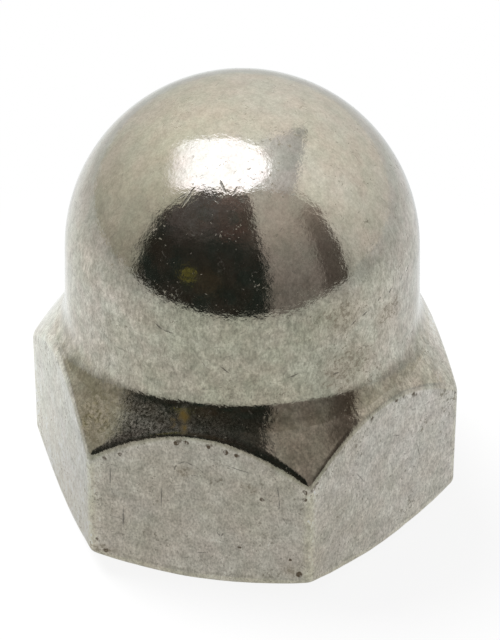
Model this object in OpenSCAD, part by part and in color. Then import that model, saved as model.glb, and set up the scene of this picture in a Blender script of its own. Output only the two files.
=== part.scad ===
// Domed cap nut, high form, for an M12 screw. It is turned in one piece from hexagon bar.
// The origin is the centre of the bearing face. +Z runs up the axis to the top of the dome,
// and two of the hexagon's corners lie on the X axis. All sizes are in millimetres.

/* [Hexagon] */
// Width across the flats
across_flats = 18.7; // [18.4:0.1:19.4]
// Radius that rounds the six upright corners
corner_radius = 0.4; // [0.1:0.1:1.4]
// Height at which the top chamfer touches the middle of each flat
flat_height = 8.8; // [8:0.1:9.4]
// Slope of the top chamfer, in degrees up from the bearing face
top_chamfer_angle = 55; // [50:1:60]
// Outer radius of the ring that the nut bears on
bearing_radius = 8.7; // [8.2:0.1:9]
// Slope of the small chamfer round the bearing face, in degrees
base_chamfer_angle = 26; // [15:1:35]

/* [Dome] */
// Height from the bearing face to the top of the dome
overall_height = 22; // [21:0.1:24]
// Diameter of the cap, and of the ball that ends it
cap_diameter = 17.1; // [16.4:0.1:17.2]
// Draft of the cap's side, in degrees: how much it spreads on its way down from the ball
cap_draft = 1.8; // [0:0.1:3]
// Radius of the hollow fillet where the top chamfer runs into the cap
neck_radius = 2.8; // [0.4:0.1:3]

/* [Threaded hole] */
// Outside diameter of the screw thread that the hole takes
thread_diameter = 12; // [11.5:0.1:12.4]
// Diameter that is drilled before the thread is cut
drill_diameter = 10.2; // [9.8:0.1:10.6]
// How much wider than the screw the mouth is opened
mouth_clearance = 0.6; // [0.2:0.1:1]
// Full angle of the countersink at the mouth
mouth_angle = 120; // [90:5:130]
// How much wider than the screw the groove past the thread is
groove_clearance = 0.5; // [0.2:0.1:0.8]
// Height at which the threaded wall ends and the groove begins
groove_start = 9.6; // [8.5:0.1:11]
// Depth of the hole to the far end of the groove
hole_depth = 16; // [15:0.1:16.6]
// Full angle of the drill's point
drill_point_angle = 118; // [110:2:140]

/* [Hidden] */

STEEL = [0.72, 0.71, 0.67];
ROUND_FN = 180;   // round surfaces
CORNER_FN = 48;   // the small corner radii
OVERCUT = 1;      // how far cutting shapes run past what they cut
GRAZE = 1.004;    // blend arcs are this much oversize, so they cross the sides that they meet

// Hexagon
half_flats = across_flats / 2;
corner_centre_r = (half_flats - corner_radius) / cos(30);
bar_radius = half_flats / cos(30) + OVERCUT;   // clears the sharp hexagon's corners

// Cap. The chamfer's cone climbs inward at its slope and would meet the cap's side at meeting.
cap_radius = cap_diameter / 2;
dome_z = overall_height - cap_radius;
function chamfer_z(r) = flat_height + (half_flats - r) * tan(top_chamfer_angle);
spread = tan(cap_draft);
meeting_r = (cap_radius + (dome_z - chamfer_z(0)) * spread)
            / (1 - tan(top_chamfer_angle) * spread);
meeting = [meeting_r, chamfer_z(meeting_r)];
neck_turn = 90 - top_chamfer_angle - cap_draft;   // angle between the cone and the cap's side
neck_run = neck_radius * tan(neck_turn / 2);      // from the meeting to each end of the fillet
neck_low = meeting + neck_run * [cos(top_chamfer_angle), -sin(top_chamfer_angle)];
neck_high = meeting + neck_run * [-sin(cap_draft), cos(cap_draft)];
neck_centre = neck_high + neck_radius * [cos(cap_draft), sin(cap_draft)];

// Hole
drill_radius = drill_diameter / 2;
mouth_radius = (thread_diameter + mouth_clearance) / 2;
mouth_depth = (mouth_radius - drill_radius) / tan(mouth_angle / 2);
groove_radius = (thread_diameter + groove_clearance) / 2;
groove_shoulder = groove_radius - drill_radius;   // the groove opens at 45 degrees
drill_tip_z = hole_depth + drill_radius / tan(drill_point_angle / 2);

// What rounding takes off one corner of the hexagon, drawn about the centre of the corner's arc.
module corner_waste() {
    difference() {
        translate([corner_radius * cos(30), -corner_radius]) square(2 * corner_radius);
        circle(r = corner_radius * GRAZE, $fn = CORNER_FN);
    }
}

// Outline of the bar, with a corner on each side of the X axis.
module hexagon_outline() {
    difference() {
        circle(r = half_flats / cos(30), $fn = 6);
        for (corner = [0:60:300])
            rotate(corner) translate([corner_centre_r, 0]) corner_waste();
    }
}

// Half of the turned section below the dome, from the axis out past the hexagon's corners.
module turned_body_section() {
    difference() {
        polygon([
            [0, 0],
            [bearing_radius, 0],
            [bar_radius, (bar_radius - bearing_radius) * tan(base_chamfer_angle)],
            [bar_radius, chamfer_z(bar_radius)],
            neck_low,
            neck_centre,
            neck_high,
            [cap_radius, dome_z],
            [0, dome_z]
        ]);
        translate(neck_centre) circle(r = neck_radius * GRAZE, $fn = ROUND_FN);
    }
}

// Half of the dome's section: a quarter of a disc.
module dome_section() {
    translate([0, dome_z]) intersection() {
        circle(r = cap_radius, $fn = ROUND_FN);
        square(cap_radius);
    }
}

// Half of the hole's section: countersunk mouth, thread wall, groove and drill point.
module hole_section() {
    polygon([
        [0, -OVERCUT],
        [mouth_radius, -OVERCUT],
        [mouth_radius, 0],
        [drill_radius, mouth_depth],
        [drill_radius, groove_start],
        [groove_radius, groove_start + groove_shoulder],
        [groove_radius, hole_depth],
        [drill_radius, hole_depth],
        [0, drill_tip_z]
    ]);
}

module cap_nut() {
    color(STEEL) difference() {
        intersection() {
            translate([0, 0, -OVERCUT])
                linear_extrude(height = overall_height + 2 * OVERCUT) hexagon_outline();
            rotate_extrude($fn = ROUND_FN) {
                turned_body_section();
                dome_section();
            }
        }
        rotate_extrude($fn = ROUND_FN) hole_section();
    }
}

cap_nut();
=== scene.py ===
"""A nickel-plated high-form cap nut on a pale floor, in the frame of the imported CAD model.

The nut is one mesh: hexagon, chamfers, neck and dome outside, tapped blind hole inside.
Lengths are in millimetres until a mesh is made. Directions in tables are in degrees, those of
the nut from +X and those of the studio from the camera's side, with positive to its right.
"""
import math

import bpy
from mathutils import Matrix, Vector, noise


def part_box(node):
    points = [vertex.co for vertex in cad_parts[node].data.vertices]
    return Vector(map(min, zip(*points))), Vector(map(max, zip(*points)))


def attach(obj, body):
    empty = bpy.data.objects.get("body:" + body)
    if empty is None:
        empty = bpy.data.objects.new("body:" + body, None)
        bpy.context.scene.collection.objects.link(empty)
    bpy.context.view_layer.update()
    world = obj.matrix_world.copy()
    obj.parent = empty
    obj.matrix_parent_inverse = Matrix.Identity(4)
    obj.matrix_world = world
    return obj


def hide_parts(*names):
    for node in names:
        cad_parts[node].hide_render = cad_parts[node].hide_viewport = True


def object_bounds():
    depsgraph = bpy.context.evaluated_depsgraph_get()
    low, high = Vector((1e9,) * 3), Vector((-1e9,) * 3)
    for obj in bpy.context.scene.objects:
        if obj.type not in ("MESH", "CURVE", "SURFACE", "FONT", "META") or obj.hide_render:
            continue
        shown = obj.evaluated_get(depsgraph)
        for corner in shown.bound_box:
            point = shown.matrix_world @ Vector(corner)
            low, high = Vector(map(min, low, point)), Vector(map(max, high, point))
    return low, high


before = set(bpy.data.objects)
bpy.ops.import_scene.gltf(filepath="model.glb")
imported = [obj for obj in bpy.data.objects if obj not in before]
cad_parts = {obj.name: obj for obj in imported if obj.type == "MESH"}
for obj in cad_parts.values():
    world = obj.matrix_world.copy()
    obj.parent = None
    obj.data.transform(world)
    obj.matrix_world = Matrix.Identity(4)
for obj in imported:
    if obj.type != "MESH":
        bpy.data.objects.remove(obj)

cad_low, cad_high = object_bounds()
_, nut_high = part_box("cap_nut")
MM = 0.001

# ---- sizes of the nut: two from the CAD solid's box, the rest the same as in its source ----
HALF_FLATS = nut_high.y / MM
OVERALL_HEIGHT = nut_high.z / MM
CORNER_RADIUS = 0.4
FLAT_HEIGHT = 8.8
TOP_CHAMFER = math.radians(55)
BEARING_RADIUS = 8.7
BASE_CHAMFER = math.radians(26)
CAP_RADIUS = 8.55
CAP_DRAFT = math.radians(1.8)
DOME_Z = OVERALL_HEIGHT - CAP_RADIUS
NECK_RADIUS = 2.8

THREAD_PITCH = 1.75
MAJOR_RADIUS = 6.0
MINOR_RADIUS = 5.1
MOUTH_RADIUS = 6.3
MOUTH_ANGLE = math.radians(120)
GROOVE_RADIUS = 6.25
GROOVE_START = 9.6
GROOVE_TOP = GROOVE_START + GROOVE_RADIUS - MINOR_RADIUS
HOLE_DEPTH = 16.0
DRILL_POINT = math.radians(118)
HOLE_TIP = HOLE_DEPTH + MINOR_RADIUS / math.tan(DRILL_POINT / 2)

# ---- directions of the three flats that the camera sees ----
LEFT, FRONT, RIGHT = -150, -90, -30

# ---- worn edges, which the CAD solid leaves sharp: their radii, and the width of a corner's painted highlight ----
SEAT_EDGE = 0.12
BASE_EDGE = 0.45
SHOULDER_EDGE = 1.12
CORNER_HIGHLIGHT_WIDTH = 0.4
# Where the shoulder's edge is worn more or less: direction, width in degrees, added radius.
SHOULDER_WEAR = [(-70, 14, 0.4), (-113, 12, 0.35), (RIGHT, 24, -0.3)]

# ---- the cap was turned a little off the hexagon's axis, from one height up to another ----
CAP_OFFSET = 0.12
OFFSET_DIRECTION = math.radians(103)
OFFSET_AXIS = Vector((math.cos(OFFSET_DIRECTION), math.sin(OFFSET_DIRECTION), 0))
OFFSET_FROM, OFFSET_FULL = 9.1, 10.7

# ---- how finely the mesh is cut ----
COLUMN_STEPS = (0.16, 1.4)
COLUMN_GROWTH = 1.4
FINE_COLUMNS = 6
NECK_STEPS = 18
CAP_STEPS = 8
DOME_STEPS = 64
FLANK_STEPS = 4
BORE_STEPS = 5
SHARP_ANGLE = math.radians(32)

# ---- how uneven the plated skin is, part by part ----
UNEVEN = {"cap": 0.6, "neck": 0.8, "shoulder": 0.8, "flat": 1.2, "shoulder edge": 1.5,
          "base edge": 1.5}
UNEVEN_ELSEWHERE = 0.6

# ---- the camera, round the nut: angles in degrees ----
VIEW_AZIMUTH = 12.885
VIEW_ELEVATION = 34.302
VIEW_ROLL = -0.108
VIEW_DISTANCE = 152.93
VIEW_HEIGHT = 10.285
LENS, SENSOR = 176.5, 36.0
SHIFT = (0.0119, -0.0292)

# ---- the hexagon's angles: from corner to corner, and from corner to flat ----
CORNER_STEP = math.pi / 3
HALF_STEP = math.pi / 6

WHITE = (1.0, 1.0, 1.0)


def blend_in(value, low, high):
    """Rises smoothly from 0 at low to 1 at high."""
    t = min(max((value - low) / (high - low), 0.0), 1.0)
    return t * t * (3 - 2 * t)


def cap_offset(z):
    """How far the turned axis is from the hexagon's at a height."""
    return CAP_OFFSET * blend_in(z, OFFSET_FROM, OFFSET_FULL)


# ======== the nut's mesh ========

def column_angles():
    """Directions round the axis, close together where the hexagon turns its corners."""
    step, widest = COLUMN_STEPS
    offsets = [step * i for i in range(FINE_COLUMNS + 1)]
    while offsets[-1] + step < 30:
        offsets.append(offsets[-1] + step)
        step = min(step * COLUMN_GROWTH, widest)
    offsets[-1] = 30.0
    sector = offsets + [60 - a for a in reversed(offsets[1:-1])]
    return [math.radians(60 * corner + a) for corner in range(6) for a in sector]


def off_corner(phi):
    """Angle from the nearest corner of the hexagon to direction phi."""
    return (phi + HALF_STEP) % CORNER_STEP - HALF_STEP


def past_corner(phi):
    """How far a point of the side is past its corner, in millimetres, the way phi grows."""
    return HALF_FLATS * math.sin(off_corner(phi)) / math.cos(HALF_STEP)


def hexagon_radius(phi):
    """Distance from the axis to the hexagon's side or rounded corner."""
    off = abs(off_corner(phi))
    centre = (HALF_FLATS - CORNER_RADIUS) / math.cos(HALF_STEP)
    tangent = math.atan2(CORNER_RADIUS * math.sin(HALF_STEP),
                         centre + CORNER_RADIUS * math.cos(HALF_STEP))
    if off > tangent:
        return HALF_FLATS / math.cos(HALF_STEP - off)
    across = centre * math.sin(off)
    return centre * math.cos(off) + math.sqrt(CORNER_RADIUS ** 2 - across ** 2)


def cone_z(radius):
    """Height of the top chamfer's cone."""
    return FLAT_HEIGHT + (HALF_FLATS - radius) * math.tan(TOP_CHAMFER)


def side_radius(z):
    """Radius of the cap's side, which touches the ball and spreads on its way down."""
    return CAP_RADIUS / math.cos(CAP_DRAFT) + (DOME_Z - z) * math.tan(CAP_DRAFT)


def neck_arc():
    """Centre of the neck's hollow arc, and the radii at its foot and its top."""
    slope, spread = math.tan(TOP_CHAMFER), math.tan(CAP_DRAFT)
    meeting = side_radius(cone_z(0)) / (1 - slope * spread)
    run = NECK_RADIUS * math.tan((math.pi / 2 - TOP_CHAMFER - CAP_DRAFT) / 2)
    foot = meeting + run * math.cos(TOP_CHAMFER)
    centre = (foot + NECK_RADIUS * math.sin(TOP_CHAMFER),
              cone_z(foot) + NECK_RADIUS * math.cos(TOP_CHAMFER))
    return centre, foot, centre[0] - NECK_RADIUS * math.cos(CAP_DRAFT)


NECK_CENTRE, NECK_FOOT, NECK_TOP = neck_arc()


def shoulder_z(radius):
    """Height of the turned surface round the cap: the cone, and further in the neck's hollow."""
    if radius >= NECK_FOOT:
        return cone_z(radius)
    return NECK_CENTRE[1] - math.sqrt(NECK_RADIUS ** 2 - (NECK_CENTRE[0] - radius) ** 2)


def shoulder_slope(radius):
    """Slope of the turned surface, inward and up."""
    if radius >= NECK_FOOT:
        return math.tan(TOP_CHAMFER)
    inward = NECK_CENTRE[0] - radius
    return inward / math.sqrt(NECK_RADIUS ** 2 - inward ** 2)


def base_z(radius):
    """Height of the base chamfer's cone."""
    return max(radius - BEARING_RADIUS, 0.0) * math.tan(BASE_CHAMFER)


def arc_points(before, corner, after, radius, count):
    """Points of the arc that rounds a corner of a path."""
    corner = Vector(corner)
    back = (Vector(before) - corner).normalized()
    ahead = (Vector(after) - corner).normalized()
    half = back.angle(ahead) / 2
    centre = corner + (back + ahead).normalized() * radius / math.sin(half)
    first = (corner + back * radius / math.tan(half) - centre).normalized()
    last = (corner + ahead * radius / math.tan(half) - centre).normalized()
    return [tuple(centre + first.slerp(last, i / count) * radius) for i in range(count + 1)]


def straight_points(start, end, count, support=0.05):
    """Points between two ends, with one close to each end to keep the stretch straight."""
    start, end = Vector(start), Vector(end)
    near = support / (end - start).length
    steps = [near] + [i / count for i in range(1, count)] + [1 - near]
    return [tuple(start.lerp(end, s)) for s in steps]


def bump_at(phi, direction, width):
    """A smooth bump of height 1 round one direction, both angles in degrees."""
    off = (math.degrees(phi) - direction + 180) % 360 - 180
    return math.exp(-(off / width) ** 2)


def shoulder_edge(phi):
    """Radius that knocks and wear have given the edge over a flat."""
    place = Vector((math.cos(phi), math.sin(phi), 0.3))
    radius = SHOULDER_EDGE
    for direction, width, added in SHOULDER_WEAR:
        radius += added * bump_at(phi, direction, width)
    return radius + 0.22 * noise.noise(place * 4.0) + 0.12 * noise.noise(place * 13.0)


def base_edge(phi):
    """Radius of the worn edge at the foot of a flat."""
    place = Vector((math.cos(phi), math.sin(phi), 2.3))
    return BASE_EDGE + 0.14 * noise.noise(place * 5.0) + 0.08 * noise.noise(place * 14.0)


def outer_path(phi):
    """Outline from the hole's mouth out, up and over to the pole, as (radius, height, part)."""
    side = hexagon_radius(phi)
    top, slope = shoulder_z(side), shoulder_slope(side)
    stops = [(MOUTH_RADIUS, 0.0), (BEARING_RADIUS, 0.0), (side, base_z(side)), (side, top),
             (side - 1, top + slope)]
    runs = [("seat", 4), ("base", 6), ("flat", 16)]
    edges = [("seat edge", SEAT_EDGE, 3), ("base edge", base_edge(phi), 8),
             ("shoulder edge", shoulder_edge(phi), 10)]
    path = [(*stops[0], "seat")]
    here = stops[0]
    for i, ((run, run_steps), (edge, radius, edge_steps)) in enumerate(zip(runs, edges)):
        arc = arc_points(stops[i], stops[i + 1], stops[i + 2], radius, edge_steps)
        path += [(*p, run) for p in straight_points(here, arc[0], run_steps)]
        path += [(*p, edge) for p in arc]
        here = arc[-1]
    inner = min(NECK_FOOT, here[0] - 0.12)
    end = (inner, top + (side - inner) * slope)
    path += [(*p, "shoulder") for p in straight_points(here, end, 6, support=0.03)]

    # So far the shoulder is straight. Where the neck's hollow reaches it, it is lifted onto that.
    bent = []
    for r, z, part in path:
        lift = shoulder_z(r) - top - (side - r) * slope if part.startswith("shoulder") else 0.0
        bent.append((r, z + lift, part))
    return bent + neck_and_cap(inner)


def neck_and_cap(start):
    """The rest of the outline, from a radius on the neck's arc up to the pole."""
    path = []
    low, high = math.acos((NECK_CENTRE[0] - start) / NECK_RADIUS), CAP_DRAFT
    for i in range(NECK_STEPS + 1):
        angle = low + (high - low) * i / NECK_STEPS
        path.append((NECK_CENTRE[0] - NECK_RADIUS * math.cos(angle),
                     NECK_CENTRE[1] - NECK_RADIUS * math.sin(angle), "neck"))
    foot = path[-1][:2]
    touch = (CAP_RADIUS * math.cos(CAP_DRAFT), DOME_Z + CAP_RADIUS * math.sin(CAP_DRAFT))
    path += [(*p, "cap") for p in straight_points(foot, touch, CAP_STEPS)]
    for i in range(DOME_STEPS):
        angle = CAP_DRAFT + (math.pi / 2 - CAP_DRAFT) * i / DOME_STEPS
        path.append((CAP_RADIUS * math.cos(angle), DOME_Z + CAP_RADIUS * math.sin(angle), "cap"))
    path.append((0.0, OVERALL_HEIGHT, "cap"))
    return path


def thread_turn():
    """One pitch of the thread's outline, as (height, radius), from the start of its crest."""
    crest, root = 0.28 * THREAD_PITCH, THREAD_PITCH / 8
    flank = (THREAD_PITCH - crest - root) / 2
    depth = MAJOR_RADIUS - MINOR_RADIUS
    turn = [(0.0, MINOR_RADIUS), (crest, MINOR_RADIUS)]
    for i in range(1, FLANK_STEPS + 1):
        turn.append((crest + flank * i / FLANK_STEPS, MINOR_RADIUS + depth * i / FLANK_STEPS))
    for i in range(FLANK_STEPS):
        turn.append((crest + flank + root + flank * i / FLANK_STEPS,
                     MAJOR_RADIUS - depth * i / FLANK_STEPS))
    return turn


def thread_path(phi, turn, turns):
    """Outline of the tapped hole at direction phi, from its mouth to its groove.

    It starts two turns below the mouth, and what lies past either end is drawn in to that end.
    """
    path = []
    for lap in range(turns):
        for height, radius in turn:
            z = THREAD_PITCH * (lap - 2 + phi / math.tau) + height
            z = min(max(z, 0.0), GROOVE_TOP)
            mouth = MOUTH_RADIUS - z * math.tan(MOUTH_ANGLE / 2)
            runout = MINOR_RADIUS + z - GROOVE_START
            path.append((max(radius, mouth, runout), z))
    return path


def bore_path():
    """Outline of the hole above the thread: groove, plain end and drill point."""
    stops = [(GROOVE_RADIUS, GROOVE_TOP), (GROOVE_RADIUS, HOLE_DEPTH), (MINOR_RADIUS, HOLE_DEPTH),
             (0.0, HOLE_TIP)]
    path = [stops[0]]
    for start, end in zip(stops, stops[1:]):
        path += straight_points(start, end, BORE_STEPS) + [end]
    return path


def unevenness(x, y, z, part):
    """How far the plated skin stands off the true form, in millimetres."""
    place = Vector((x, y, z))
    wide = noise.noise(place * 0.35) * 0.006
    near = noise.noise(place * 0.9 + Vector((7, 3, 5))) * 0.0022
    return (wide + near) * UNEVEN.get(part, UNEVEN_ELSEWHERE)


# What the material reads at each point. The last two are heights from a flat's ends, in
# millimetres, and the others say from 0 to 1 how far the point is of that kind: part of a flat,
# dull, on a rim painted bright, on the band beside a corner painted light, on the shoulder with
# or without its worn edge, and in the neck.
MARKS = ("flat", "dull", "rim", "corner_band_highlight", "shoulder", "cone", "neck", "above_base", "below_top")


class Skin:
    """Collects the nut's points and their marks, with each point made once."""

    def __init__(self, angles):
        self.angles = angles
        self.points = []
        self.marks = {name: [] for name in MARKS}
        self.known = {}

    def point(self, column, radius, z, out=0.0, up=0.0, offset=0.0, **marks):
        """Number of the point at a place of a column, which stands off it by out and up."""
        key = (column if radius > 1e-6 else -1, round(radius, 5), round(z, 5))
        if key not in self.known:
            phi = self.angles[column]
            reach = radius + out
            self.known[key] = len(self.points)
            true = Vector((reach * math.cos(phi), reach * math.sin(phi), z + up))
            self.points.append(tuple((true + OFFSET_AXIS * offset) * MM))
            for name, values in self.marks.items():
                values.append(marks.get(name, 0.0))
        return self.known[key]


def outer_marks(phi, radius, z, part, lean):
    """Marks of a point of the outside; lean goes from 0 on a flat to 1 on the shoulder's cone."""
    side = hexagon_radius(phi)
    beside = side * math.sin(abs(off_corner(phi)))
    # Where the painted highlights of a corner and of the band past it lie.
    corner = 1 - blend_in(beside, 0.1, CORNER_HIGHLIGHT_WIDTH)
    corner_band_highlight = blend_in(past_corner(phi), -0.15, 0.2) * (1 - blend_in(past_corner(phi), 0.5, 0.9))
    turned_over = blend_in(lean, 0.1, 0.42)
    over = {"flat": 0.0, "base edge": 0.0, "shoulder edge": turned_over}.get(part, 1.0)
    hollow = blend_in(radius, NECK_TOP + 0.05, NECK_TOP + 0.3)
    on_cone = blend_in(lean, 0.5, 0.95)
    return {"flat": 1.0 - over,
            "dull": float(part in ("seat", "base", "seat edge")) or 1.0 - over,
            "rim": 1.0 if part == "base edge" else corner * float(part == "flat"),
            "corner_band_highlight": corner_band_highlight * float(part == "flat"),
            "shoulder": {"shoulder": 1.0, "shoulder edge": over, "neck": hollow}.get(part, 0.0),
            "cone": {"shoulder": 1.0, "shoulder edge": on_cone, "neck": hollow}.get(part, 0.0),
            "neck": blend_in(radius, NECK_TOP, NECK_TOP + 0.12) * float(part == "neck"),
            "above_base": z - base_z(side),
            "below_top": max(shoulder_z(side) - z, 0.0)}


def outer_rows(skin, column):
    """Point numbers of one column of the outside."""
    phi = skin.angles[column]
    path = outer_path(phi)
    rows = []
    for i, (radius, z, part) in enumerate(path):
        before, after = path[max(i - 1, 0)], path[min(i + 1, len(path) - 1)]
        along = Vector((after[0] - before[0], after[1] - before[1])).normalized()
        x, y = radius * math.cos(phi), radius * math.sin(phi)
        off = unevenness(x, y, z, part) if radius > 0 and part != "seat" else 0.0
        offset = cap_offset(z) if part in ("neck", "cap") else 0.0
        marks = outer_marks(phi, radius, z, part, max(-along.x, 0.0) / math.cos(TOP_CHAMFER))
        rows.append(skin.point(column, radius, z, off * along.y, -off * along.x, offset, **marks))
    return rows


def stitch(faces, left, right, shift=0, inward=False):
    """Adds faces between two neighbouring columns; the right one may start some rows higher."""
    for i in range(len(left) - 1 - shift):
        quad = [left[i], right[i + shift], right[i + shift + 1], left[i + 1]]
        quad = [p for n, p in enumerate(quad) if p != quad[n - 1]]
        if len(quad) > 2:
            faces.append(quad[::-1] if inward else quad)


def nut_mesh():
    """The whole nut as one closed mesh, with marks that its material reads."""
    skin = Skin(column_angles())
    faces = []
    count = len(skin.angles)
    turn = thread_turn()
    turns = math.ceil(GROOVE_TOP / THREAD_PITCH) + 4
    outside, tapped, bored = [], [], []
    for column, phi in enumerate(skin.angles):
        outside.append(outer_rows(skin, column))
        tapped.append([skin.point(column, r, z, dull=1.0) for r, z in thread_path(phi, turn, turns)])
        bored.append([skin.point(column, r, z, dull=1.0) for r, z in bore_path()])
    for column in range(count):
        after = (column + 1) % count
        lap = len(turn) if after == 0 else 0
        stitch(faces, outside[column], outside[after])
        stitch(faces, tapped[column], tapped[after], shift=lap, inward=True)
        stitch(faces, bored[column], bored[after], inward=True)
    mesh = bpy.data.meshes.new("cap_nut_skin")
    mesh.from_pydata(skin.points, [], faces)
    for name, values in skin.marks.items():
        mesh.attributes.new(name, "FLOAT", "POINT").data.foreach_set("value", values)
    mesh.shade_smooth()
    mesh.set_sharp_from_angle(angle=SHARP_ANGLE)
    mesh.validate()
    return mesh


# ======== shader building ========

def grey(level):
    """A colour without hue."""
    return (level, level, level)


class Graph:
    """Short calls that build a node tree; each takes sockets or plain values and returns a socket."""

    def __init__(self, tree):
        self.tree = tree
        tree.nodes.clear()

    def add(self, kind, inputs=None, **settings):
        """A new node; inputs are given by name, or by number where names repeat."""
        node = self.tree.nodes.new("ShaderNode" + kind)
        for name, value in settings.items():
            setattr(node, name, value)
        for key, value in (inputs or {}).items():
            self.feed(node.inputs[key], value)
        return node

    def feed(self, socket, value):
        """Links an output to an input, or sets the input to a number or a colour."""
        if isinstance(value, bpy.types.NodeSocket):
            self.tree.links.new(value, socket)
        elif socket.type == "RGBA" and len(value) == 3:
            socket.default_value = (*value, 1.0)
        else:
            socket.default_value = value

    def math(self, operation, *values, clamp=False):
        """Maths on single values."""
        inputs = dict(enumerate(values))
        return self.add("Math", inputs, operation=operation, use_clamp=clamp).outputs[0]

    def rise(self, value, low, high, ends=(0.0, 1.0)):
        """Moves smoothly between two ends as value goes from low to high."""
        inputs = dict(enumerate((value, low, high, *ends)))
        return self.add("MapRange", inputs, interpolation_type="SMOOTHSTEP").outputs[0]

    def times(self, first, second):
        """The product of two values."""
        return self.math("MULTIPLY", first, second)

    def linear(self, value, slope, start):
        """A value times a slope, plus a start."""
        return self.math("MULTIPLY_ADD", value, slope, start)

    def larger(self, first, second):
        """The larger of two values."""
        return self.math("MAXIMUM", first, second)

    def mix(self, factor, first, second, blend="MIX"):
        """Goes from the first colour to the second; these sockets are the node's colour ones."""
        inputs = {0: factor, 6: first, 7: second}
        return self.add("Mix", inputs, data_type="RGBA", blend_type=blend).outputs[2]

    def shade(self, factor, tone, by):
        """Multiplies a tone by another, as far as the factor says."""
        return self.mix(factor, tone, by, "MULTIPLY")

    def ramp(self, value, stops):
        """A colour or grey level read off stops, which go from the lowest value to the highest."""
        low, high = stops[0][0], stops[-1][0]
        node = self.add("ValToRGB")
        self.feed(node.inputs[0], self.math("DIVIDE", self.math("SUBTRACT", value, low), high - low))
        elements = node.color_ramp.elements
        for place, _ in stops[1:-1]:
            elements.new((place - low) / (high - low))
        for element, (_, level) in zip(elements, stops):
            element.color = (*(level if isinstance(level, tuple) else grey(level)), 1.0)
        return node.outputs[0]

    def noise(self, vector, scale, detail=2.0, roughness=0.5):
        """Cloudy noise between 0 and 1, mostly near 0.5."""
        inputs = {"Vector": vector, "Scale": scale, "Detail": detail, "Roughness": roughness}
        return self.add("TexNoise", inputs).outputs[0]

    def mark(self, name):
        """One of the marks that the mesh carries."""
        return self.add("Attribute", attribute_name=name).outputs["Fac"]

    def jitter(self, vector, scale, reach):
        """Shakes a position about by noise, up to about half the reach each way."""
        node = self.add("TexNoise", {"Vector": vector, "Scale": scale})
        shift = self.vector("SUBTRACT", node.outputs["Color"], (0.5, 0.5, 0.5))
        return self.vector("ADD", vector, self.vector("MULTIPLY", shift, (reach, reach, reach)))

    def vector(self, operation, *values):
        """Vector maths; a dot product or a length comes back as a plain value."""
        node = self.add("VectorMath", dict(enumerate(values)), operation=operation)
        return node.outputs["Value" if operation in ("DOT_PRODUCT", "LENGTH") else "Vector"]


def new_material(name):
    """An empty material, and the graph that fills it."""
    material = bpy.data.materials.new(name)
    material.use_nodes = True
    return material, Graph(material.node_tree)


# ======== marks that years of use left ========

# Scratches on each flat: both ends as (across, height), and the width.
FLAT_SCRATCHES = {
    FRONT: [((-4.28, 6.45), (-4.32, 5.2), 0.08), ((-4.3, 5.2), (-4.14, 4.7), 0.07),
            ((-3.7, 4.1), (-3.73, 2.85), 0.12), ((-1.8, 5.8), (-1.83, 4.3), 0.08),
            ((3.76, 6.65), (3.91, 5.8), 0.09), ((3.91, 5.8), (3.87, 5.15), 0.08),
            ((1.1, 7.45), (2.8, 7.1), 0.06), ((0.85, 3.4), (1.05, 3.1), 0.09),
            ((1.05, 3.1), (1.2, 3.35), 0.08), ((-0.2, 1.9), (0.5, 2.1), 0.06),
            ((-1.2, 6.6), (-1.05, 7.1), 0.06), ((-1.05, 7.1), (-0.6, 7.3), 0.06),
            ((-0.6, 7.3), (-0.1, 7.1), 0.07), ((-0.8, 6.9), (-0.45, 6.6), 0.06),
            ((-0.45, 6.6), (0.1, 6.5), 0.06), ((0.0, 7.0), (0.45, 6.6), 0.06)],
    LEFT: [((-0.1, 7.2), (0.6, 6.9), 0.08), ((0.6, 6.9), (1.4, 6.35), 0.1),
           ((2.4, 4.9), (2.6, 3.7), 0.08), ((-1.6, 5.0), (-1.3, 4.2), 0.07)],
    RIGHT: [((-2.2, 5.9), (-1.5, 4.9), 0.08), ((0.4, 6.6), (1.1, 6.3), 0.07),
            ((2.3, 5.2), (2.6, 4.2), 0.08)],
}

# Spots of old dirt on the front flat: the middle as (across, height), and the width.
FRONT_SPOTS = [
    ((-4.56, 6.85), 0.28), ((-3.82, 7.2), 0.26), ((-1.04, 8.32), 0.3), ((-0.55, 8.42), 0.3),
    ((0.5, 8.36), 0.3), ((1.32, 8.18), 0.34), ((1.86, 8.05), 0.28), ((5.14, 6.45), 0.3),
    ((5.1, 6.0), 0.26), ((3.05, 5.7), 0.27), ((-5.05, 1.9), 0.24), ((-4.65, 1.28), 0.28),
    ((4.9, 1.5), 0.4), ((4.45, 2.3), 0.22), ((1.96, 2.62), 0.2),
]

# Scratches on the cap: both ends as (direction, height), and the width.
CAP_SCRATCHES = [
    ((-105.5, 14.15), (-102.5, 13.9), 0.09), ((-102.5, 13.9), (-99.0, 13.85), 0.1),
    ((-100.1, 19.98), (-103.1, 19.25), 0.16), ((-106.0, 19.5), (-103.0, 19.75), 0.09),
    ((-88.6, 20.3), (-85.2, 19.95), 0.17), ((-81.5, 19.88), (-79.8, 20.13), 0.11),
    ((2.5, 14.3), (1.0, 13.8), 0.09), ((-9.5, 14.5), (-12.0, 14.3), 0.1),
    ((-14.5, 14.45), (-16.5, 14.2), 0.09), ((-22.0, 14.3), (-23.8, 14.1), 0.1),
    ((-27.5, 14.25), (-29.5, 14.1), 0.09), ((-34.0, 13.9), (-36.5, 13.8), 0.1),
    ((-39.0, 13.75), (-41.0, 13.55), 0.09), ((-63.0, 11.6), (-59.5, 11.75), 0.07),
    ((-48.0, 11.2), (-45.5, 11.2), 0.08), ((-84.0, 12.4), (-81.0, 12.0), 0.07),
]

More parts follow.
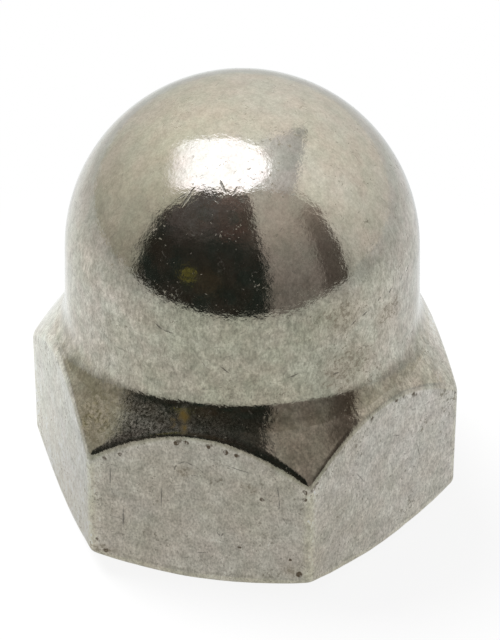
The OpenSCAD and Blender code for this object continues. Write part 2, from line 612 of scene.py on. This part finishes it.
# Areas of the skin that are stained more than the rest: (direction, radius, height), and reach.
STAINED_AREAS = [
    ((-123.0, 9.7, 8.3), (2.0, 1.5)), ((-93.5, 9.35, 6.75), (0.9, 0.55)),
    ((-74.5, 9.7, 6.3), (0.6, 0.5)), ((-44.0, 8.4, 14.3), (2.0, 1.3)),
    ((-42.0, 8.6, 11.2), (2.3, 1.8)), ((-22.0, 8.5, 13.2), (1.9, 1.1)),
    ((-64.0, 10.4, 1.7), (0.9, 0.6)), ((-118.0, 10.5, 1.4), (1.3, 0.5)),
]

# Ochre stains on the shoulder: (direction, radius, height), and how far each reaches.
OCHRE_STAINS = [
    ((-95.0, 8.85, 9.6), 0.5), ((-94.8, 9.2, 9.1), 0.34), ((-98.5, 9.05, 9.3), 0.22),
]


def at_height(direction, radius, height):
    """A point from its direction in degrees, its distance from the axis and its height."""
    angle = math.radians(direction)
    return Vector((radius * math.cos(angle), radius * math.sin(angle), height))


def on_flat(flat, across, height):
    """A point of a flat, from how far across and how high it is."""
    angle = math.radians(flat)
    along = Vector((-math.sin(angle), math.cos(angle), 0)) * across
    return at_height(flat, HALF_FLATS, height) + along


def on_cap(direction, height):
    """A point of the cap, from its direction in degrees and its height."""
    radius = side_radius(height)
    if height > DOME_Z:
        radius = math.sqrt(CAP_RADIUS ** 2 - (height - DOME_Z) ** 2)
    return at_height(direction, radius, height) + OFFSET_AXIS * cap_offset(height)


def ellipsoid(g, place, centre, sizes, turn=(0.0, 0.0, 0.0), inner=0.4):
    """1 in the middle of an ellipsoid, falling to 0 at its skin."""
    inputs = {"Vector": place, "Location": centre, "Rotation": turn, "Scale": sizes}
    local = g.add("Mapping", inputs, vector_type="TEXTURE")
    return g.rise(g.vector("LENGTH", local.outputs[0]), inner, 1.0, (1.0, 0.0))


def stroke(g, place, start, end, width):
    """A mark along a line: a long thin ellipsoid that the skin cuts through."""
    along = end - start
    turn = along.to_track_quat("X", "Z").to_euler()
    sizes = (along.length / 2 + width / 2, width / 2, width / 2)
    return ellipsoid(g, place, (start + end) / 2, sizes, turn)


def strongest(g, masks):
    """The highest of some masks, which are built one after another as they are needed."""
    masks = iter(masks)
    whole = next(masks)
    for mask in masks:
        whole = g.larger(whole, mask)
    return whole


def placed_marks(g, place):
    """Masks of the scratches, the cap's scratches, brown spots, stained areas and ochre stains."""
    shaken = g.jitter(place, 5.0, 0.1)
    cap_scratched = strongest(g, (stroke(g, shaken, on_cap(*start), on_cap(*end), width)
                                  for start, end, width in CAP_SCRATCHES))
    scratched = strongest(g, (stroke(g, shaken, on_flat(flat, *start), on_flat(flat, *end), width)
                              for flat, marks in FLAT_SCRATCHES.items()
                              for start, end, width in marks))
    scratched = g.larger(scratched, cap_scratched)
    torn = g.jitter(place, 4.5, 0.2)
    spotted = strongest(g, (ellipsoid(g, torn, on_flat(FRONT, *spot), grey(width / 2))
                            for spot, width in FRONT_SPOTS))
    drifting = g.jitter(place, 0.9, 1.4)
    stained = strongest(g, (ellipsoid(g, drifting, at_height(*spot), (reach, reach, rise), inner=0.2)
                            for spot, (reach, rise) in STAINED_AREAS))
    loose = g.jitter(place, 1.8, 0.8)
    rusty = strongest(g, (ellipsoid(g, loose, at_height(*spot), (reach, reach, reach * 1.5), inner=0.1)
                          for spot, reach in OCHRE_STAINS))
    return scratched, cap_scratched, spotted, stained, rusty


# ======== nickel plate ========

def scratches(g, place, density, width, reach, share):
    """Short straight scratches, one at most in each cell of a scattered pattern, at any angle."""
    cells = g.add("TexVoronoi", {"Vector": place, "Scale": density})
    offset = g.vector("SUBTRACT", place, cells.outputs["Position"])
    tint = g.vector("SUBTRACT", cells.outputs["Color"], (0.5, 0.5, 0.5))
    across = g.math("ABSOLUTE", g.vector("DOT_PRODUCT", offset, g.vector("NORMALIZE", tint)))
    line = g.rise(across, width * 0.3, width, (1.0, 0.0))
    ends = g.rise(g.vector("LENGTH", offset), reach * 0.6, reach, (1.0, 0.0))
    lot = g.math("FRACT", g.times(g.vector("LENGTH", tint), 37.7))
    chosen = g.math("LESS_THAN", lot, share)
    return g.times(g.times(line, ends), chosen)


# Colours of the plate and of what lies on it.
PLATE, PALE_PLATE = (0.65, 0.61, 0.52), (0.68, 0.642, 0.565)
PIT, HAIRLINE, SCRATCH = (0.2, 0.175, 0.12), (0.2, 0.18, 0.15), (0.13, 0.12, 0.1)
STAIN, GRUBBY, OCHRE = (0.42, 0.34, 0.24), (0.24, 0.21, 0.13), (0.3, 0.2, 0.045)
SPOT, DUST = (0.07, 0.042, 0.012), (0.34, 0.315, 0.305)

# How much of the shoulder is under dust, by the distance across the view.
DUST_ACROSS = [(-7.5, 0.0), (-6.2, 0.2), (-5.0, 0.4), (-3.8, 0.34), (-2.2, 0.22), (-0.6, 0.1),
               (2.0, 0.0)]


def varied(g, tone, weight, value, dark, light):
    """Multiplies a tone by something between dark and light, as a noise value goes up."""
    return g.shade(weight, tone, g.mix(g.rise(value, 0.3, 0.7), dark, light))


def nickel_tone(g, place, marks):
    """The plate's colour, with its clouds and grain, grime in the neck, and light and shade painted on
    the shoulder, the neck, the left flat, the rims and the feet of the flats, before any dirt.
    """
    _, ahead, up = turned(g, place)
    flat, dull = marks["flat"], marks["dull"]
    cloud = g.noise(place, 0.4, 3)
    tone = g.mix(g.rise(cloud, 0.35, 0.65), PLATE, PALE_PLATE)
    drift = g.noise(g.vector("ADD", place, (17.0, 5.0, 9.0)), 0.75, 3, 0.6)
    drift_weight = g.linear(flat, -0.45, 1.0)
    tone = varied(g, tone, drift_weight, drift, (0.98, 1.01, 0.99), (1.03, 0.99, 0.985))
    tone = g.shade(dull, tone, (1.13, 1.145, 1.205))

    # Grain, from coarse to fine; the finer two are drawn out upwards.
    worn = g.larger(dull, g.rise(up, 14.0, 18.5, (1.0, 0.45)))
    coarse = g.times(worn, g.linear(flat, -0.2, 0.9))
    tone = varied(g, tone, coarse, g.noise(place, 1.2, 5, 0.62), (0.83, 0.83, 0.81), grey(1.17))
    tall = g.vector("MULTIPLY", place, (1.0, 1.0, 0.62))
    tone = varied(g, tone, coarse, g.noise(tall, 3.8, 3, 0.65), (0.81, 0.81, 0.8), grey(1.17))
    fine = g.times(worn, 0.95)
    tone = varied(g, tone, fine, g.noise(tall, 9.5, 3, 0.75), (0.74, 0.74, 0.73), grey(1.22))

    # The shoulder is painted lighter at the sides and darker towards the camera, and the neck is
    # darkened by grime and painted shade.
    shoulder_side_light_and_shade = g.mix(g.rise(ahead, 0.0, 6.4), grey(1.28), (0.75, 0.74, 0.715))
    tone = g.shade(marks["shoulder"], tone, shoulder_side_light_and_shade)
    # Grime and painted shade: the crease of the neck is darkened in patches.
    patchy_grime_and_shade = g.rise(g.noise(place, 1.7, 3), 0.3, 0.6, (0.3, 1.0))
    neck_grime_and_shade = g.times(marks["neck"], patchy_grime_and_shade)
    tone = g.shade(neck_grime_and_shade, tone, (0.8, 0.79, 0.75))

    # The left flat is painted lighter, most of all at its foot.
    out_left = g.vector("DOT_PRODUCT", place, at_height(LEFT, 1.0, 0.0))
    on_left = g.rise(out_left, HALF_FLATS - 0.15, HALF_FLATS - 0.02)
    left_flat_painted_light = g.mix(g.rise(up, 1.0, 7.0), (1.27, 1.28, 1.27), (1.1, 1.13, 1.13))
    tone = g.shade(on_left, tone, left_flat_painted_light)

    # Painted highlights: the rims and the bands beside the corners are painted brighter, broken up by
    # noise.
    rim = g.times(marks["rim"], g.rise(g.noise(place, 2.3, 3), 0.3, 0.55, (0.5, 1.0)))
    tone = g.shade(rim, tone, (1.1, 1.11, 1.05))
    corner_band_highlight = g.times(marks["corner_band_highlight"], g.rise(g.noise(place, 1.9, 3), 0.3, 0.55, (0.5, 1.0)))
    tone = g.shade(corner_band_highlight, tone, grey(1.14))

    # A broken line of painted shade runs along the foot of each flat.
    above = marks["above_base"]
    line = g.times(g.rise(above, 0.34, 0.44), g.rise(above, 0.46, 0.6, (1.0, 0.0)))
    broken = g.times(flat, g.rise(g.noise(place, 1.4, 3), 0.4, 0.6))
    return g.shade(g.times(line, broken), tone, (0.8, 0.8, 0.78))


def pitting(g, place, marks, stained):
    """Small dark pits, which lie closer together on stained areas and on the flats."""
    blotches = g.rise(g.noise(place, 0.55, 3, 0.6), 0.48, 0.68, (0.0, 0.55))
    patchy = g.larger(stained, blotches)
    threshold = g.linear(patchy, -0.19, 0.685)
    threshold = g.linear(marks["flat"], -0.03, threshold)
    pits = g.noise(g.vector("ADD", place, (3.0, 11.0, 23.0)), 5.6, 3, 0.62)
    return g.math("MULTIPLY", g.math("SUBTRACT", pits, threshold), 18.0, clamp=True)


def hairlines(g, place):
    """Fine scratches scattered all over, long and short, with gaps in them."""
    bent = g.jitter(place, 1.3, 0.5)
    long_marks = scratches(g, bent, 0.9, 0.032, 0.42, 0.3)
    short_marks = scratches(g, bent, 2.1, 0.03, 0.2, 0.35)
    broken = g.rise(g.noise(place, 4.5, 2, 0.6), 0.42, 0.58)
    return g.times(g.larger(long_marks, short_marks), broken)


def shoulder_dust(g, place, marks):
    """How thick the grey dust lies on the shoulder: most of it is on the left."""
    across, ahead, _ = turned(g, place)
    lies = g.ramp(across, DUST_ACROSS)
    lies = g.times(lies, g.rise(ahead, 4.0, 6.5))
    speckled = g.noise(g.vector("ADD", place, (2.0, 6.0, 4.0)), 8.0, 3, 0.75)
    speckled = g.rise(speckled, 0.32, 0.78)
    return g.times(marks["cone"], g.times(lies, speckled))


def plate_relief(g, place, dull, grain, hair, cap_scratched):
    """The normal of the skin: waves, ripples, grain, and the scratches cut into it."""
    ripple = g.noise(place, 3.6, 3, 0.6)
    wave = g.noise(place, 1.1, 2, 0.5)
    height = g.linear(wave, 2.0, g.times(ripple, 2.4))
    height = g.linear(grain, g.linear(dull, 0.8, 0.5), height)
    height = g.linear(hair, -0.3, height)
    height = g.linear(cap_scratched, -3.0, height)
    bump = {"Height": height, "Distance": 0.004 * MM, "Strength": 1.0}
    return g.add("Bump", bump).outputs[0]


def nickel_material():
    """Worn nickel plate: a scuffed mirror on the cap, dull flats, dirt in its pits and scratches.

    The nodes' values must all fit Cycles' stack at once. With a few marks or noises more the
    nut renders black.
    """
    material, g = new_material("worn_nickel")
    place = g.vector("MULTIPLY", g.add("TexCoord").outputs["Object"], (1000, 1000, 1000))
    marks = {name: g.mark(name) for name in MARKS}
    dull = marks["dull"]
    scratched, cap_scratched, spotted, stained, rusty = placed_marks(g, place)
    tone = nickel_tone(g, place, marks)

    grain = g.noise(place, 9.0, 2, 0.6)
    pits = pitting(g, place, marks, stained)
    hair = hairlines(g, place)
    ragged = g.noise(g.vector("ADD", place, (5.0, 1.0, 8.0)), 6.0, 2, 0.6)
    ragged = g.rise(ragged, 0.36, 0.5, (0.45, 1.0))
    scratched = g.times(scratched, ragged)
    spotted = g.times(g.rise(spotted, 0.0, 0.4), ragged)
    edge_spots = g.rise(marks["below_top"], 0.15, 0.6, (1.0, 0.0))
    edge_spots = g.times(edge_spots, marks["flat"])
    edge_spots = g.times(edge_spots, g.rise(g.noise(place, 2.9, 3), 0.58, 0.66))
    dust = shoulder_dust(g, place, marks)

    tone = g.mix(g.times(pits, 0.75), tone, PIT)
    tone = g.mix(g.times(hair, 0.5), tone, HAIRLINE)
    tone = g.mix(g.times(stained, 0.22), tone, STAIN)
    tone = g.mix(g.times(g.larger(spotted, edge_spots), 0.95), tone, SPOT)
    tone = g.mix(g.times(scratched, 0.85), tone, SCRATCH)
    tone = g.mix(dust, tone, DUST)
    tone = g.mix(g.times(rusty, 0.9), tone, OCHRE)
    grubby = g.times(stained, g.rise(g.noise(place, 3.1, 4, 0.75), 0.44, 0.6))
    grubby = g.times(grubby, g.times(marks["cone"], 0.85))
    tone = g.mix(grubby, tone, GRUBBY)
    dirt = strongest(g, [g.times(pits, 0.6), g.times(hair, 0.12), dust, g.times(spotted, 0.8),
                         g.times(scratched, 0.5), g.times(rusty, 0.35)])

    scuffs = g.noise(place, 1.9, 4, 0.65)
    rough = g.linear(dull, 0.26, 0.055)
    rough = g.linear(g.rise(scuffs, 0.35, 0.7), 0.05, rough)
    rough = g.linear(dirt, 0.3, rough)
    relief = plate_relief(g, place, dull, grain, hair, cap_scratched)

    shader = g.add("BsdfPrincipled")
    g.feed(shader.inputs["Base Color"], tone)
    g.feed(shader.inputs["Metallic"], g.math("SUBTRACT", 1.0, dirt))
    g.feed(shader.inputs["Roughness"], rough)
    g.feed(shader.inputs["Normal"], relief)
    g.add("OutputMaterial", {"Surface": shader.outputs[0]})
    return material


# ======== the studio ========

VIEW_DIRECTION = math.radians(VIEW_AZIMUTH)
TOWARDS_CAMERA = Vector((math.sin(VIEW_DIRECTION), -math.cos(VIEW_DIRECTION), 0))
ACROSS_VIEW = Vector((math.cos(VIEW_DIRECTION), math.sin(VIEW_DIRECTION), 0))

# The tent, by azimuth: how bright it is at its foot and above its rise, and its tint.
TENT_FOOT = [(-180, 0.735), (-150, 0.61), (-120, 0.445), (-90, 0.36), (-70, 0.3), (66, 0.36),
             (75, 0.47), (90, 0.57), (110, 0.6), (150, 0.7), (180, 0.735)]
TENT_ABOVE = [(-180, 0.89), (-150, 0.89), (-120, 0.8), (-90, 0.62), (-70, 0.55), (66, 0.72),
              (80, 0.83), (90, 0.88), (110, 0.86), (150, 0.87), (180, 0.89)]
TENT_RISE = 48.0
TENT_TINT = [(-180, (1.0, 0.99, 0.95)), (-90, (1.0, 0.985, 0.87)), (90, (1.0, 0.985, 0.95)),
             (180, (1.0, 0.99, 0.95))]

# The roof is laid out flat, one unit above the nut. Its front edge, and the veil's tone across it.
ROOF_EDGE = [(-1.0, 0.43), (-0.6, 0.36), (-0.45, 0.33), (-0.2, 0.42), (0.0, 0.42), (0.15, 0.36),
             (0.5, 0.345), (1.0, 0.36)]
VEIL_TONES = [(0.2, (0.86, 0.87, 0.91)), (0.3, (0.72, 0.73, 0.76)), (0.45, (0.6, 0.61, 0.63)),
              (0.6, (0.51, 0.515, 0.53)), (0.8, (0.48, 0.48, 0.48))]
LAMP = (1.75, 1.78, 2.0)
LAMP_TURN = math.radians(16.7)
LAMP_LENGTH, LAMP_HALF_WIDTH = 0.515, 0.335
LAMP_ROUNDING = 2.4

# What shows through the gap in front, by elevation: the dark room, a reddish panel on its right,
# the panel's left edge, and a darker strip between the panel and the tent.
GAP_TONES = [(-90, (0.028, 0.026, 0.024)), (8, (0.024, 0.025, 0.0215)), (24, (0.025, 0.0255, 0.0225)),
             (32, (0.034, 0.031, 0.0275)), (40, (0.06, 0.05, 0.045)), (50, (0.082, 0.069, 0.063)),
             (58, (0.1, 0.088, 0.083)), (66, (0.17, 0.155, 0.15)), (90, (0.24, 0.21, 0.2))]
PANEL_TONES = [(-90, (0.16, 0.149, 0.138)), (0, (0.18, 0.165, 0.155)), (20, (0.26, 0.243, 0.229)),
               (36, (0.38, 0.352, 0.333)), (45, (0.45, 0.42, 0.4)), (60, (0.49, 0.46, 0.44)),
               (90, (0.5, 0.47, 0.44))]
PANEL_EDGE = [(20, 1.0), (42, 0.74), (60, 0.58)]
STRIP_TONES = [(0, (0.082, 0.072, 0.065)), (20, (0.115, 0.1, 0.092)), (30, (0.17, 0.15, 0.138)),
               (40, (0.28, 0.247, 0.23)), (50, (0.34, 0.3, 0.28))]
GAP_LEFT, GAP_RIGHT = -71, 66
PANEL_LEFT = 17.0
STRIP_LEFT, STRIP_RIGHT = 51, 68

# The floor as the metal mirrors it, a glow with painted shade darker in front, by the angle from the
# camera's side: close by, and further off.
FLOOR_NEAR = [(0, (0.41, 0.402, 0.375)), (30, (0.42, 0.412, 0.385)), (90, (0.575, 0.58, 0.587)),
              (140, (0.975, 1.0, 1.0)), (180, (1.0, 1.0, 1.0))]
FLOOR_FAR = [(0, (0.485, 0.5, 0.465)), (45, (0.5, 0.515, 0.485)), (90, (0.66, 0.67, 0.675)),
             (140, (0.85, 0.87, 0.88)), (180, (0.92, 0.95, 0.96))]

# What lights everything but the metal's mirror image.
EVEN_LIGHT = (0.55, 0.55, 0.55)


def turned(g, vector):
    """Splits a vector into its parts across the view, towards the camera and up."""
    return [g.vector("DOT_PRODUCT", vector, axis)
            for axis in (ACROSS_VIEW, TOWARDS_CAMERA, Vector((0, 0, 1)))]


def degrees(g, angle):
    """An angle in degrees, from radians."""
    return g.times(angle, 180 / math.pi)


def between(g, value, low, high, soft_low, soft_high):
    """1 between two angles, falling off over the widths given."""
    rising = g.rise(value, low - soft_low, low + soft_low)
    falling = g.rise(value, high - soft_high, high + soft_high, (1.0, 0.0))
    return g.times(rising, falling)


def studio_direction(azimuth, elevation):
    """A direction of the studio as a vector of the frame; both angles are in degrees."""
    turn, climb = math.radians(azimuth), math.radians(elevation)
    level = ACROSS_VIEW * math.sin(turn) + TOWARDS_CAMERA * math.cos(turn)
    return level * math.cos(climb) + Vector((0, 0, math.sin(climb)))


def near_direction(g, direction, azimuth, elevation, reach):
    """1 round one direction of the studio, falling to 0 at the reach, in degrees."""
    away = g.vector("LENGTH", g.vector("SUBTRACT", direction, studio_direction(azimuth, elevation)))
    return g.rise(away, math.radians(reach * 0.3), math.radians(reach), (1.0, 0.0))


def dark_gap_tone(g, direction, elevation):
    """The dark room behind the camera, with a few dim things in it."""
    tone = g.ramp(elevation, GAP_TONES)
    room = g.noise(direction, 5.0, 3, 0.6)
    room = g.mix(g.rise(room, 0.38, 0.62), (0.74, 0.93, 0.94), (1.14, 0.98, 0.95))
    tone = g.shade(1.0, tone, room)
    clutter = g.rise(g.noise(direction, 21.0, 4, 0.7), 0.4, 0.6)
    clutter = g.mix(clutter, (0.62, 0.7, 0.72), (1.3, 1.22, 1.2))
    tone = g.mix(g.rise(elevation, 18, 44), tone, g.shade(1.0, tone, clutter))
    warm = near_direction(g, direction, -22, 9, 13)
    tone = g.mix(g.times(warm, 0.5), tone, (0.048, 0.035, 0.022))
    pale = near_direction(g, direction, 9, 38, 12)
    tone = g.mix(g.times(pale, 0.5), tone, (0.085, 0.075, 0.068))
    haze = g.times(near_direction(g, direction, -50, 52, 30),
                   g.rise(g.noise(direction, 16.0, 4, 0.7), 0.42, 0.58))
    tone = g.mix(haze, tone, (0.112, 0.11, 0.116))
    brass = near_direction(g, direction, -34.8, 10.3, 6.4)
    glints = g.rise(g.noise(direction, 24.0, 3, 0.7), 0.4, 0.56, (0.3, 1.0))
    return g.mix(g.times(brass, glints), tone, (0.135, 0.125, 0.03))


def tent_light(g, azimuth, elevation):
    """The white tent: brighter above than at its foot, and darkest towards the camera."""
    foot = g.ramp(azimuth, TENT_FOOT)
    above = g.ramp(azimuth, TENT_ABOVE)
    light = g.mix(g.math("DIVIDE", elevation, TENT_RISE, clamp=True), foot, above)
    return g.shade(1.0, light, g.ramp(azimuth, TENT_TINT))


def veil_mask(g, aside, nearer):
    """A grey flag that hangs right of the lamp, and tapers towards the back of the roof."""
    back = g.linear(aside, g.linear(aside, 1.067, 0.27), nearer)
    side = g.linear(g.math("MINIMUM", nearer, 0.0), 0.07, aside)
    return g.times(between(g, side, 0.16, 0.63, 0.07, 0.02), g.rise(back, -0.22, -0.15))


def lamp_glow(g, aside, nearer):
    """The lamp on the tent's roof: square and hazy to the left, rounded to the right."""
    cosine, sine = math.cos(LAMP_TURN), math.sin(LAMP_TURN)
    away = g.math("ADD", aside, 0.25)
    along = g.linear(away, cosine, g.times(nearer, sine))
    aslant = g.linear(away, -sine, g.times(nearer, cosine))
    right = g.math("DIVIDE", g.larger(along, 0.0), LAMP_LENGTH)
    right = g.math("POWER", right, LAMP_ROUNDING)
    middle = g.math("ABSOLUTE", g.math("SUBTRACT", aslant, 0.03))
    beside = g.math("POWER", g.math("DIVIDE", middle, LAMP_HALF_WIDTH), LAMP_ROUNDING)
    inside = g.rise(g.math("ADD", right, beside), 0.8, 1.35, (1.0, 0.0))
    haze = g.rise(along, -0.76, -0.18)
    front_end = g.rise(nearer, 0.35, 0.42, (1.0, 0.0))
    return g.times(inside, g.times(haze, front_end))


def studio_light(g, direction):
    """What the metal mirrors: a white tent, its lamp overhead, and the dark gap for the camera.

    Azimuth 0 is the camera's side and positive to its right; elevation is above the floor.
    """
    across, ahead, up = turned(g, direction)
    azimuth = degrees(g, g.math("ARCTAN2", across, ahead))
    elevation = degrees(g, g.math("ARCSINE", up))

    light = tent_light(g, azimuth, elevation)

    # Where a direction meets the roof, and the roof's torn front edge.
    level = g.larger(up, 0.05)
    aside = g.math("DIVIDE", across, level)
    nearer = g.math("DIVIDE", ahead, level)
    edge = g.ramp(aside, ROOF_EDGE)
    softness = g.rise(aside, -0.8, -0.4, (0.06, 0.025))
    torn = g.rise(g.noise(direction, 30.0, 4, 0.75), 0.3, 0.7, (-1.0, 1.0))
    edge = g.linear(torn, 0.035, edge)
    front = g.rise(g.math("DIVIDE", g.math("SUBTRACT", nearer, edge), softness), -1.0, 1.0)

    light = g.mix(veil_mask(g, aside, nearer), light, g.ramp(aside, VEIL_TONES))
    light = g.mix(lamp_glow(g, aside, nearer), light, LAMP)

    frayed = g.linear(torn, 3.2, azimuth)
    gap = g.times(between(g, frayed, GAP_LEFT, GAP_RIGHT, 4, 2.5), front)
    light = g.mix(gap, light, dark_gap_tone(g, direction, elevation))

    panel_edge = g.ramp(elevation, PANEL_EDGE)
    panel = g.rise(g.linear(panel_edge, -PANEL_LEFT, frayed), -1.6, 1.6)
    panel = g.times(g.times(panel, g.rise(azimuth, 65, 69, (1.0, 0.0))), front)
    light = g.mix(panel, light, g.ramp(elevation, PANEL_TONES))

    strip = between(g, azimuth, STRIP_LEFT, STRIP_RIGHT, 5, 2)
    strip = g.times(strip, g.rise(elevation, 38, 47, (1.0, 0.0)))
    return g.mix(strip, light, g.ramp(elevation, STRIP_TONES))


def build_world():
    """White to the camera, the studio to the metal, an even pale light to everything else."""
    world = bpy.data.worlds.new("studio")
    bpy.context.scene.world = world
    world.use_nodes = True
    g = Graph(world.node_tree)
    rays = g.add("LightPath").outputs
    studio = studio_light(g, g.add("TexCoord").outputs["Generated"])
    light = g.mix(rays["Is Glossy Ray"], EVEN_LIGHT, studio)
    seen = g.larger(rays["Is Camera Ray"], rays["Is Transmission Ray"])
    light = g.mix(seen, light, WHITE)
    background = g.add("Background", {"Color": light})
    g.add("OutputWorld", {"Surface": background.outputs[0]})


def mirrored_floor(g, across, ahead, from_axis):
    """The floor as the metal mirrors it, a glow with painted shade: brighter behind than in front,
    dimmer behind to the right, and darker far away.
    """
    azimuth = degrees(g, g.math("ARCTAN2", g.math("ABSOLUTE", across), ahead))
    near = g.ramp(azimuth, FLOOR_NEAR)
    far = g.ramp(azimuth, FLOOR_FAR)
    tone = g.mix(g.rise(from_axis, 17, 28), near, far)
    # Painted shade: the mirrored floor is dimmer behind to the right.
    behind_right = g.times(g.rise(across, 5, 18), g.rise(ahead, -1, -8))
    shade_behind_right = g.times(behind_right, g.rise(from_axis, 60, 110, (1.0, 0.0)))
    tone = g.shade(shade_behind_right, tone, (0.87, 0.87, 0.885))
    return g.shade(1.0, tone, g.rise(from_axis, 26, 120, (1.0, 0.7)))


def floor_material():
    """White with a light shadow to the camera, and to the metal a pale grey glow with painted shade,
    dimmest beneath the nut.
    """
    material, g = new_material("pale_floor")
    place = g.vector("MULTIPLY", g.add("NewGeometry").outputs["Position"], (1000, 1000, 1000))
    across, ahead, _ = turned(g, place)
    from_axis = g.math("SQRT", g.math("ADD", g.times(across, across), g.times(ahead, ahead)))
    # Painted shadow: the glow the metal sees is dimmer beneath the nut.
    shadow_beneath_nut = g.rise(from_axis, 8.0, 9.6, (0.45, 1.0))
    rays = g.add("LightPath").outputs
    glow = g.add("Emission")
    mirrored = mirrored_floor(g, across, ahead, from_axis)
    g.feed(glow.inputs["Color"], g.mix(rays["Is Glossy Ray"], WHITE, mirrored))
    g.feed(glow.inputs["Strength"], g.mix(rays["Is Glossy Ray"], WHITE, shadow_beneath_nut))
    matt = g.add("BsdfDiffuse", {"Color": grey(0.9)})

    # A little of the matt surface is mixed in near the nut, and takes its shadow.
    near = g.rise(from_axis, 12, 30, (0.13, 0.0))
    shaded = g.times(near, rays["Is Camera Ray"])
    surface = g.add("MixShader", {0: shaded, 1: glow.outputs[0], 2: matt.outputs[0]})

    # Seen from below, the floor isn't there.
    clear = g.add("BsdfTransparent")
    one_sided = g.add("MixShader")
    g.feed(one_sided.inputs[0], g.add("NewGeometry").outputs["Backfacing"])
    g.feed(one_sided.inputs[1], surface.outputs[0])
    g.feed(one_sided.inputs[2], clear.outputs[0])
    g.add("OutputMaterial", {"Surface": one_sided.outputs[0]})
    return material


def build_floor():
    """A pale table top that ends in front of the nut, a hair below its seat."""
    front, side, back, sunk = 73.0, 400.0, 400.0, 0.02
    outline = [(-side, front), (side, front), (side, -back), (-side, -back)]
    points = []
    for across, ahead in outline:
        corner = ACROSS_VIEW * across + TOWARDS_CAMERA * ahead
        points.append((corner.x * MM, corner.y * MM, cad_low.z - sunk * MM))
    mesh = bpy.data.meshes.new("floor")
    mesh.from_pydata(points, [], [(0, 1, 2, 3)])
    floor = bpy.data.objects.new("floor", mesh)
    bpy.context.collection.objects.link(floor)
    mesh.materials.append(floor_material())


def build_key_light():
    """A soft lamp above and behind to the left, which gives the nut its shadow."""
    left, behind, height, width = 110, 90, 220, 160
    light = bpy.data.lights.new("key", "AREA")
    light.shape = "DISK"
    light.size = width * MM
    light.energy = 0.9
    lamp = bpy.data.objects.new("key", light)
    lamp.location = (ACROSS_VIEW * -left - TOWARDS_CAMERA * behind + Vector((0, 0, height))) * MM
    lamp.rotation_euler = (-lamp.location).to_track_quat("-Z", "Y").to_euler()
    lamp.visible_glossy = False
    bpy.context.collection.objects.link(lamp)


def build_camera():
    """The camera of the picture, aimed at the middle of the nut."""
    azimuth, elevation, roll = (math.radians(a) for a in (VIEW_AZIMUTH, VIEW_ELEVATION, VIEW_ROLL))
    back = TOWARDS_CAMERA * math.cos(elevation) + Vector((0, 0, math.sin(elevation)))
    right = ACROSS_VIEW
    up = back.cross(right)
    rolled_right = right * math.cos(roll) + up * math.sin(roll)
    rolled_up = up * math.cos(roll) - right * math.sin(roll)
    data = bpy.data.cameras.new("camera")
    data.lens = LENS
    data.sensor_width = SENSOR
    data.shift_x, data.shift_y = SHIFT
    data.clip_start, data.clip_end = 0.01, 10.0
    camera = bpy.data.objects.new("camera", data)
    place = Vector((0, 0, VIEW_HEIGHT)) + back * VIEW_DISTANCE
    turn = Matrix((rolled_right, rolled_up, back)).transposed().to_4x4()
    camera.matrix_world = Matrix.Translation(place * MM) @ turn
    bpy.context.collection.objects.link(camera)
    bpy.context.scene.camera = camera


def build_nut():
    """The dressed nut, which stands for the plain CAD solid."""
    nut = bpy.data.objects.new("cap_nut_skin", nut_mesh())
    bpy.context.collection.objects.link(nut)
    nut.data.materials.append(nickel_material())
    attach(nut, "root")
    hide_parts("cap_nut")


bpy.context.scene.view_settings.view_transform = "Standard"
build_camera()
build_world()
build_floor()
build_key_light()
build_nut()
